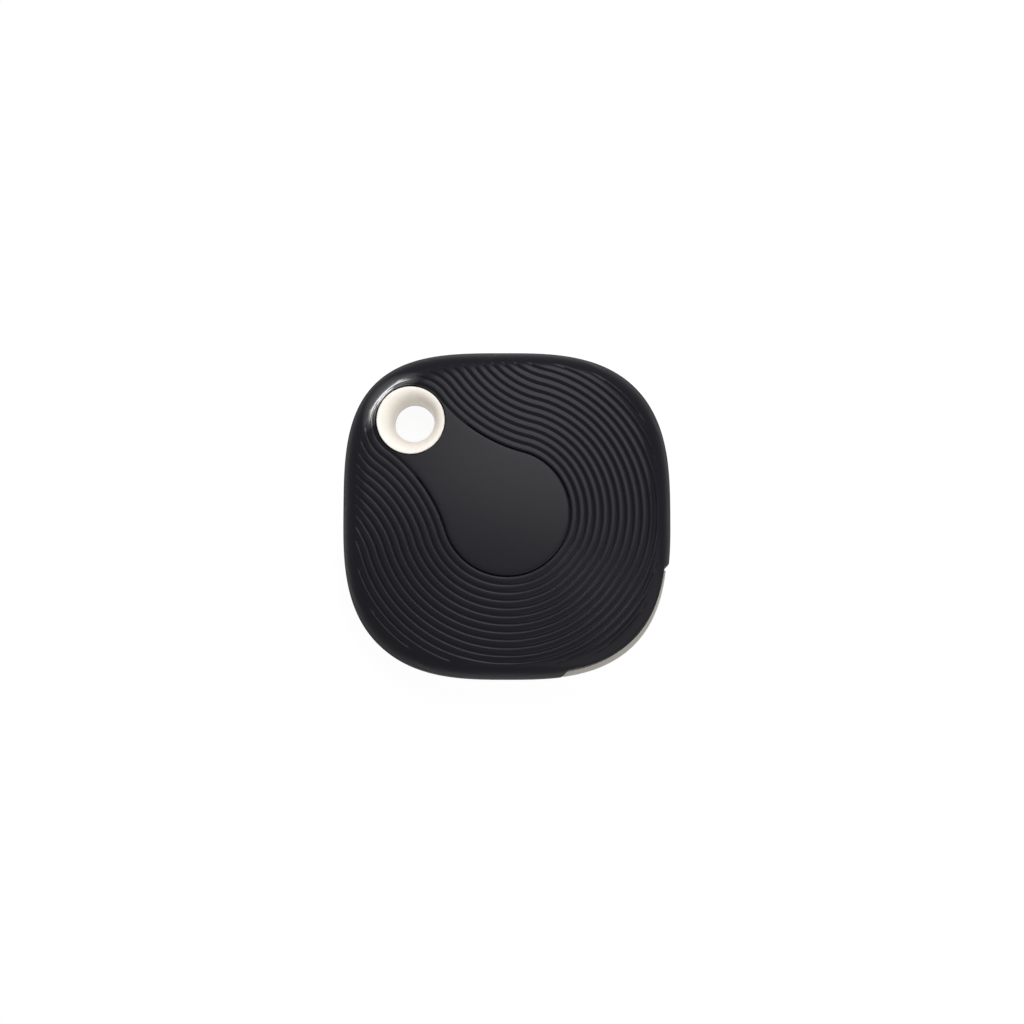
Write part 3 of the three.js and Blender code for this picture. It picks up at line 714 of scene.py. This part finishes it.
groove_count = 14
groove_depth = 0.14
groove_end = 9.72
groove_floor_wide = 0.06
groove_top_wide = 0.7
groove_power = 2.7
rib_sharp_angle = 50
share_halvings = 44
ray_halvings = 50
share_most = 1.3
ray_inward = -3.0
ray_outward = 30.0
spot_step = 0.002
arc_rays = {"rim": 84, "neck": 50, "disc": 264}


def on_keyhole(u, v):
    """The keyhole's own axes: u runs from the tag's middle to the eyelet"""
    across = u * math.cos(ring_turn) - v * math.sin(ring_turn)
    up = u * math.sin(ring_turn) + v * math.cos(ring_turn)
    return np.stack([across, up], -1)


def keyhole_rays():
    """Points round the keyhole outline and the direction straight out from it at each"""
    reach_sum = disc_radius + neck_curve
    far = rim_radius + neck_curve
    neck_u = (reach_sum**2 - far**2 + eyelet_reach**2) / (2 * eyelet_reach)
    neck_v = math.sqrt(reach_sum**2 - neck_u**2)
    at_disc = math.atan2(neck_v, neck_u)
    at_rim = math.atan2(neck_v, neck_u - eyelet_reach)
    arcs = [
        (eyelet_reach, 0, rim_radius, 1, -at_rim, at_rim, "rim"),
        (neck_u, neck_v, neck_curve, -1, at_rim - math.pi, at_disc - math.pi, "neck"),
        (0, 0, disc_radius, 1, at_disc, 2 * math.pi - at_disc, "disc"),
        (neck_u, -neck_v, neck_curve, -1, math.pi - at_disc, math.pi - at_rim, "neck"),
    ]
    starts = []
    ways = []
    for u, v, radius, grow, begin, end, kind in arcs:
        turn = np.linspace(begin, end, arc_rays[kind], endpoint=False)
        if kind == "neck":
            to_hole_end = math.atan2(-v, eyelet_reach - hole_radius - u)
            turn[np.abs(turn - to_hole_end).argmin()] = to_hole_end
        spread = np.stack([np.cos(turn), np.sin(turn)], -1)
        starts.append(np.array([u, v]) + radius * spread)
        ways.append(grow * spread)
    return np.concatenate(starts), np.concatenate(ways)


ray_uv, way_uv = keyhole_rays()
ray_start = on_keyhole(ray_uv[:, 0], ray_uv[:, 1])
ray_way = on_keyhole(way_uv[:, 0], way_uv[:, 1])


def at_offset(offset):
    return ray_start + np.reshape(offset, (-1, 1)) * ray_way


def share_at(points):
    """How far out on the rounded edge points lie: 0 where the flat ends, 1 at the skirt"""
    across = np.abs(points[:, 0])
    up = np.abs(points[:, 1])
    at_corner = (points[:, 0] < 0) & (points[:, 1] > 0)
    low = np.zeros(len(points))
    high = np.full(len(points), share_most)
    for _ in range(share_halvings):
        share = (low + high) / 2
        blended = corner_power + (ring_corner_power - corner_power) * share
        power = np.where(at_corner, blended, corner_power)
        half = (across**power + up**power) ** (1 / power)
        outside = half > face_half + face_round_wide * share
        low = np.where(outside, share, low)
        high = np.where(outside, high, share)
    return (low + high) / 2


def face_at(points):
    """Height of the cover's smooth top at points within the tag's outline"""
    share = np.clip(share_at(points), 0, 1)
    return face_height - face_round_deep * (1 - np.sqrt(1 - share**2))


def ray_reach(limit):
    """Offset at which each ray comes to a given share of the rounded edge"""
    low = np.zeros(len(ray_start))
    high = np.full(len(ray_start), ray_outward)
    for _ in range(ray_halvings):
        offset = (low + high) / 2
        within = share_at(at_offset(offset)) < limit
        low = np.where(within, offset, low)
        high = np.where(within, high, offset)
    return (low + high) / 2


def ray_to(half, corner=ring_corner_power):
    """Offset at which each ray meets an outline of one size"""
    low = np.full(len(ray_start), ray_inward)
    high = np.full(len(ray_start), ray_outward)
    for _ in range(ray_halvings):
        offset = (low + high) / 2
        points = at_offset(offset)
        at_corner = (points[:, 0] < 0) & (points[:, 1] > 0)
        power = np.where(at_corner, corner, corner_power)
        reach = (np.abs(points[:, 0]) ** power + np.abs(points[:, 1]) ** power) ** (1 / power)
        low = np.where(reach < half, offset, low)
        high = np.where(reach < half, high, offset)
    return (low + high) / 2


def ease(low, high, value):
    """0 below low, 1 above high, and smooth between"""
    share = np.clip((value - low) / (high - low), 0, 1)
    return share * share * (3 - 2 * share)


edge_points = at_offset(ray_reach(edge_sample_share))
edge_turn = np.arctan2(edge_points[:, 1], edge_points[:, 0])
in_notch = ease(notch_from, notch_from + notch_ease[0], edge_turn)
in_notch *= 1 - ease(notch_to - notch_ease[1], notch_to, edge_turn)
pry_turn = np.abs(edge_turn - (notch_from + notch_to) / 2)
in_pry_slot = 1 - ease(pry_half_angle - pry_ease, pry_half_angle, pry_turn)
wall_half = half_width + (notch_half - half_width) * in_notch
edge_share = (wall_half - edge_inset - face_half) / face_round_wide
edge_share = np.clip(edge_share, 0, edge_share_most)
edge_offset = ray_reach(edge_share)
ray_count = len(ray_start)
slot_closed = ease(hinge_reach - slot_fade_in, hinge_reach + slot_fade_out, ray_uv[:, 0])
slot_gap = slot_half * (1 - slot_closed)

# Rows of vertices in each pitch, as shares of it: close together down the sides of a groove,
# whose middle lies at 0, and few on the rib. Four plain rows follow the last rib.
falling_shares = [0, 0.1, 0.15, 0.195, 0.24, 0.29, 0.35]
rising_shares = [0.65, 0.71, 0.76, 0.805, 0.85, 0.9]
past_rib_shares = (0, 0.6, 1.2, 1.8)
pitch_rows = np.array(falling_shares + rising_shares)
offsets = [float(o) for k in range(groove_count) for o in (k + pitch_rows) * groove_pitch]
offsets += [(groove_count + extra) * groove_pitch for extra in past_rib_shares]
rows = []
for offset in offsets:
    along = np.clip(np.maximum(offset, slot_gap), None, edge_offset)
    points = at_offset(along)
    rows.append((points, face_at(points), along))
edge_spots = at_offset(edge_offset)
rows.append((edge_spots, face_at(edge_spots), edge_offset))
from_turn = np.arcsin(edge_share)
for i in range(1, face_round_steps + 1):
    turn = from_turn + (math.pi / 2 - from_turn) * i / face_round_steps
    share = np.sin(turn)
    half = np.minimum(face_half + face_round_wide * share, wall_half)
    corner = corner_power + (ring_corner_power - corner_power) * share
    along = np.maximum(ray_to(half, corner), edge_offset)
    height = face_height - face_round_deep * (1 - np.cos(turn))
    rows.append((at_offset(along), height, along))
foot = parting_height + pry_height * in_pry_slot
wall = np.minimum(wall_half, half_width)
for half, height in [
    (wall - skirt_hollow, (parting_height + face_height - face_round_deep) / 2),
    (wall, foot + skirt_bevel),
    (wall - skirt_bevel / 2, foot + skirt_bevel / 3),
    (wall - skirt_bevel, foot),
    (skirt_half + skirt_bevel, foot),
    (skirt_half, foot + skirt_bevel),
    (skirt_half, gasket_top),
    (upper_half, gasket_top),
    (upper_half, roof - roof_corner),
    (upper_half - roof_corner, roof),
]:
    along = np.maximum(ray_to(half), slot_gap + slot_step)
    rows.append((at_offset(along), height, along))
rows.append((at_offset(slot_gap), roof, slot_gap))


def rayed_mesh(rows, open_rays=None):
    """A closed skin through rows of one vertex a ray, each with its offset kept for the ribs.
    Rows share a vertex where they meet. Between the last and the first row, the skin is left
    out where two open rays lie side by side."""
    work = bmesh.new()
    ring = work.verts.layers.float.new("ring")
    made = []
    for points, height, along in rows:
        row = []
        spots = np.column_stack([points, np.broadcast_to(height, len(points))])
        for spot, offset in zip(spots, along):
            last = made[-1][len(row)] if made else None
            if last is None or np.abs(spot - last[1]).max() > spot_step:
                last = (work.verts.new(spot), spot)
                last[0][ring] = offset * mm
            row.append(last)
        made.append(row)
    made = [[vertex for vertex, spot in row] for row in made]
    for r, lower in enumerate(made):
        upper = made[(r + 1) % len(made)]
        for i in range(ray_count):
            k = (i + 1) % ray_count
            if open_rays is not None and r == len(made) - 1 and open_rays[i] and open_rays[k]:
                continue
            corners = dict.fromkeys((lower[i], lower[k], upper[k], upper[i]))
            if len(corners) > 2:
                work.faces.new(corners)
    return work


def rib_tree():
    """Sinks the grooves between ribs: the deepest line lies at every whole pitch"""
    tree = bpy.data.node_groups.new("cover_ribs", "GeometryNodeTree")
    given = tree.nodes.new("NodeGroupInput")
    result = tree.nodes.new("NodeGroupOutput")
    sockets = {}
    tree.interface.new_socket("Mesh", in_out="OUTPUT", socket_type="NodeSocketGeometry")
    tree.interface.new_socket("Mesh", in_out="INPUT", socket_type="NodeSocketGeometry")
    for label in ("Pitch", "Floor width", "Top width", "Depth", "End height", "Last groove"):
        socket = tree.interface.new_socket(label, in_out="INPUT", socket_type="NodeSocketFloat")
        sockets[label] = socket.identifier
    socket = tree.interface.new_socket("Finish", in_out="INPUT", socket_type="NodeSocketMaterial")
    sockets["Finish"] = socket.identifier

    def figure(*terms):
        return math_node(tree, *terms)

    ring = tree.nodes.new("GeometryNodeInputNamedAttribute")
    ring.data_type = "FLOAT"
    ring.inputs["Name"].default_value = "ring"
    turns = figure("DIVIDE", ring.outputs[0], given.outputs["Pitch"])
    share = figure("FRACT", figure("ADD", turns, 0.5))
    away = figure("ABSOLUTE", figure("SUBTRACT", share, 0.5))
    away = figure("MULTIPLY", away, figure("MULTIPLY", given.outputs["Pitch"], 2.0))
    slope = tree.nodes.new("ShaderNodeMapRange")
    tree.links.new(away, slope.inputs["Value"])
    tree.links.new(given.outputs["Top width"], slope.inputs["From Min"])
    tree.links.new(given.outputs["Floor width"], slope.inputs["From Max"])
    profile = figure("POWER", slope.outputs["Result"], groove_power)
    first = figure("GREATER_THAN", turns, -0.5)
    last = figure("LESS_THAN", turns, figure("ADD", given.outputs["Last groove"], 0.5))
    profile = figure("MULTIPLY", profile, figure("MULTIPLY", first, last))
    spot = tree.nodes.new("GeometryNodeInputPosition")
    axes = tree.nodes.new("ShaderNodeSeparateXYZ")
    tree.links.new(spot.outputs[0], axes.inputs[0])
    room = figure("SUBTRACT", axes.outputs["Z"], given.outputs["End height"])
    room = figure("MINIMUM", figure("MAXIMUM", room, 0.0), given.outputs["Depth"])
    sink = figure("MULTIPLY", figure("MULTIPLY", profile, room), -1.0)
    move = tree.nodes.new("ShaderNodeCombineXYZ")
    tree.links.new(sink, move.inputs["Z"])
    placed = tree.nodes.new("GeometryNodeSetPosition")
    tree.links.new(given.outputs["Mesh"], placed.inputs["Geometry"])
    tree.links.new(move.outputs[0], placed.inputs["Offset"])
    real = tree.nodes.new("GeometryNodeRealizeInstances")
    tree.links.new(placed.outputs[0], real.inputs[0])
    finish = tree.nodes.new("GeometryNodeSetMaterial")
    tree.links.new(real.outputs[0], finish.inputs["Geometry"])
    tree.links.new(given.outputs["Finish"], finish.inputs["Material"])
    tree.links.new(finish.outputs[0], result.inputs[0])
    return tree, sockets


black = plastic("black_plastic", black_colour, black_roughness, 0.16, 0.004, specular=0.12)
tree = black.node_tree
shader = tree.nodes["Principled BSDF"]
gloss = shader.inputs["Roughness"].links[0].from_socket
spot = tree.nodes.new("ShaderNodeTexCoord").outputs["Object"]
axes = tree.nodes.new("ShaderNodeSeparateXYZ")
tree.links.new(spot, axes.inputs["Vector"])
coarse = remap(tree, axes.outputs["Z"], 0, skirt_rougher, coarse_from * mm, coarse_to * mm)
tree.links.new(math_node(tree, "ADD", coarse, gloss), shader.inputs["Roughness"])
towards_corner = tree.nodes.new("ShaderNodeMapping")
towards_corner.inputs["Rotation"].default_value = (0, 0, -ring_turn)
towards_corner.inputs["Location"].default_value = (-eyelet_reach * mm, 0, -rubbed_height * mm)
tree.links.new(spot, towards_corner.inputs["Vector"])
past_ring = tree.nodes.new("ShaderNodeSeparateXYZ")
tree.links.new(towards_corner.outputs["Vector"], past_ring.inputs["Vector"])
outer_side = remap(tree, past_ring.outputs["X"], 0, 1, rubbed_from * mm, rubbed_to * mm)
from_ring = length_of(tree, towards_corner.outputs["Vector"])
near_ring = remap(tree, from_ring, 0, 1, rubbed_far * mm, rubbed_near * mm)
polished = math_node(tree, "MULTIPLY", outer_side, near_ring)
tree.links.new(polished, shader.inputs["Coat Weight"])
shader.inputs["Coat Roughness"].default_value = rubbed_roughness
shader.inputs["Coat IOR"].default_value = rubbed_index
rib_nodes, rib_sockets = rib_tree()


def add_ribs(piece):
    ribs = piece.modifiers.new("ribs", "NODES")
    ribs.node_group = rib_nodes
    ribs[rib_sockets["Pitch"]] = groove_pitch * mm
    ribs[rib_sockets["Floor width"]] = groove_floor_wide * mm
    ribs[rib_sockets["Top width"]] = groove_top_wide * mm
    ribs[rib_sockets["Depth"]] = groove_depth * mm
    ribs[rib_sockets["End height"]] = groove_end * mm
    ribs[rib_sockets["Last groove"]] = float(groove_count - 1)
    ribs[rib_sockets["Finish"]] = black
    bake(piece)
    piece.data.shade_smooth()
    piece.data.set_sharp_from_angle(angle=math.radians(rib_sharp_angle))


grip_skin = add_mesh("grip_skin", rayed_mesh(rows))
add_ribs(grip_skin)
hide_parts("front_cover")
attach(grip_skin, "front")

# Boss round the eyelet, inside the cover, which presses the gasket's collar.
boss_radius = 5
boss_bevel = 0.1
boss_rings = [
    (circle(hole_radius, eyelet_place), gasket_top),
    (circle(hole_radius, eyelet_place), roof + roof_overlap),
    (circle(boss_radius, eyelet_place), roof + roof_overlap),
    (circle(boss_radius, eyelet_place), gasket_top + boss_bevel),
    (circle(boss_radius - boss_bevel, eyelet_place), gasket_top),
]
boss = loft("eyelet_boss", boss_rings, closed=True)
boss.data.materials.append(black)
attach(boss, "front")

# Heat stakes: four posts moulded on the cover's inside, which pass through the board and the
# frame and are melted over into round heads.
stake_shares = [(0.57, 0.57), (0.57, -0.57), (-0.57, -0.57), (-0.72, 0.06)]
stake_radius = 0.8
stake_root_radius = 1.6
stake_root_bevel = 0.05
stake_steps = 48
frame_ledge = 0.8
melted_head = [(1.36, 0), (1.4, 0.08), (1.3, 0.22), (0.95, 0.34), (0.5, 0.39), (0, 0.4)]
board_top = board_high.z / mm
frame_low = board_low.z / mm - frame_ledge
stake_profile = [
    (0, roof + roof_overlap),
    (stake_root_radius, roof + roof_overlap),
    (stake_root_radius, board_top + stake_root_bevel),
    (stake_root_radius - stake_root_bevel, board_top),
    (stake_radius, board_top),
    (stake_radius, frame_low),
]
stake_profile += [(radius, frame_low - drop) for radius, drop in melted_head]
stake_work = bmesh.new()
turned = [stake_work.verts.new((radius, 0, height)) for radius, height in stake_profile]
stake_edges = [stake_work.edges.new(pair) for pair in zip(turned, turned[1:])]
bmesh.ops.spin(
    stake_work,
    geom=turned + stake_edges,
    axis=(0, 0, 1),
    cent=(0, 0, 0),
    angle=2 * math.pi,
    steps=stake_steps,
    use_merge=True,
)
one_stake = add_mesh("one_stake", stake_work)
points_mesh = bpy.data.meshes.new("stake_points")
spots = [(x * half_width * mm, y * half_width * mm, 0) for x, y in stake_shares]
points_mesh.from_pydata(spots, [], [])
stakes = bpy.data.objects.new("cover_stakes", points_mesh)
scene.collection.objects.link(stakes)
tree = bpy.data.node_groups.new("stakes_in_place", "GeometryNodeTree")
tree.interface.new_socket("Mesh", in_out="OUTPUT", socket_type="NodeSocketGeometry")
tree.interface.new_socket("Points", in_out="INPUT", socket_type="NodeSocketGeometry")
stake_input = tree.interface.new_socket("Stake", in_out="INPUT", socket_type="NodeSocketObject")
finish_input = tree.interface.new_socket("Finish", in_out="INPUT", socket_type="NodeSocketMaterial")
given = tree.nodes.new("NodeGroupInput")
result = tree.nodes.new("NodeGroupOutput")
shape = tree.nodes.new("GeometryNodeObjectInfo")
copies = tree.nodes.new("GeometryNodeInstanceOnPoints")
real = tree.nodes.new("GeometryNodeRealizeInstances")
finish = tree.nodes.new("GeometryNodeSetMaterial")
tree.links.new(given.outputs["Stake"], shape.inputs["Object"])
tree.links.new(given.outputs["Points"], copies.inputs["Points"])
tree.links.new(shape.outputs["Geometry"], copies.inputs["Instance"])
tree.links.new(copies.outputs[0], real.inputs[0])
tree.links.new(real.outputs[0], finish.inputs["Geometry"])
tree.links.new(given.outputs["Finish"], finish.inputs["Material"])
tree.links.new(finish.outputs[0], result.inputs[0])
placing = stakes.modifiers.new("stakes", "NODES")
placing.node_group = tree
placing[stake_input.identifier] = one_stake
placing[finish_input.identifier] = black
bake(stakes)
bpy.data.objects.remove(one_stake)
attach(stakes, "front")

# Press tongue: the smooth keyhole in the middle of the cover. The slot round it lies in the
# first groove, and at the neck, where the tongue bends when pressed, it is one with the cover; this
# mesh is built unbent. Its rays run inwards to the keyhole's axis or to the eyelet's hole, and no
# point of it lies within the hole.
level_way = 1e-9
past_all = 99
graze_margin = 0.6
off_ribs = -9.0
further_shares = [0.9, 1.6, 2.6]
further_steps = [3.4, 4.6, 6.4, 9]
hole_centre = np.array(eyelet_place)
to_axis = np.abs(ray_uv[:, 1]) / np.maximum(np.abs(way_uv[:, 1]), level_way)
away_u = ray_uv[:, 0] - eyelet_reach
along_way = away_u * way_uv[:, 0] + ray_uv[:, 1] * way_uv[:, 1]
inside_square = along_way**2 - (away_u**2 + ray_uv[:, 1] ** 2 - hole_radius**2)
to_hole = along_way - np.sqrt(np.maximum(inside_square, 0))
to_hole = np.where(inside_square > 0, to_hole, past_all)
to_hole = np.where(to_hole > to_axis - graze_margin, past_all, to_hole)
rim_end = arc_rays["rim"]
neck_end = rim_end + arc_rays["neck"]
disc_end = neck_end + arc_rays["disc"]
depth_in = np.empty(ray_count)
depth_in[:rim_end] = rim_radius - hole_radius
depth_in[neck_end:disc_end] = disc_radius
for part in (slice(rim_end, neck_end), slice(disc_end, ray_count)):
    depth_in[part] = np.minimum(to_axis[part], to_hole[part])
tongue_rows = []
steps_in = [share * groove_pitch for share in falling_shares + further_shares] + further_steps
for step in steps_in:
    along = -np.minimum(np.maximum(step, slot_gap), depth_in)
    points = at_offset(along)
    from_hole = points - hole_centre
    reach = np.linalg.norm(from_hole, axis=1, keepdims=True)
    points = hole_centre + from_hole * np.maximum(1, hole_radius / reach)
    tongue_rows.append((points, face_at(points), along))
under_ring = np.full(ray_count, off_ribs)
under_rows = [(points, roof, under_ring) for points, _, _ in tongue_rows]
tongue_rows = tongue_rows[::-1] + under_rows
ends_on_axis = depth_in < to_hole
ends_on_axis[:rim_end] = False
keyhole_skin = add_mesh("keyhole_skin", rayed_mesh(tongue_rows, ends_on_axis))
add_ribs(keyhole_skin)
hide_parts("press_tongue")
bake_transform(keyhole_skin)

# Nub under the tongue's middle, which presses the switch.
nub_radius = 0.8
nub_bevel = 0.1
nub_steps = 48
nub_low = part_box("press_tongue")[0].z / mm
nub_rings = [
    (circle(nub_radius - nub_bevel, steps=nub_steps), nub_low),
    (circle(nub_radius, steps=nub_steps), nub_low + nub_bevel),
    (circle(nub_radius, steps=nub_steps), roof + roof_overlap),
]
nub = loft("tongue_nub", nub_rings)
nub.data.materials.append(black)
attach(nub, "tongue")

# Film bonded under the tongue and its slot, which keeps water out.
dress("tongue_seal_film", plastic("seal_film", rubber_colour, 0.6, 0.3, 0.002))
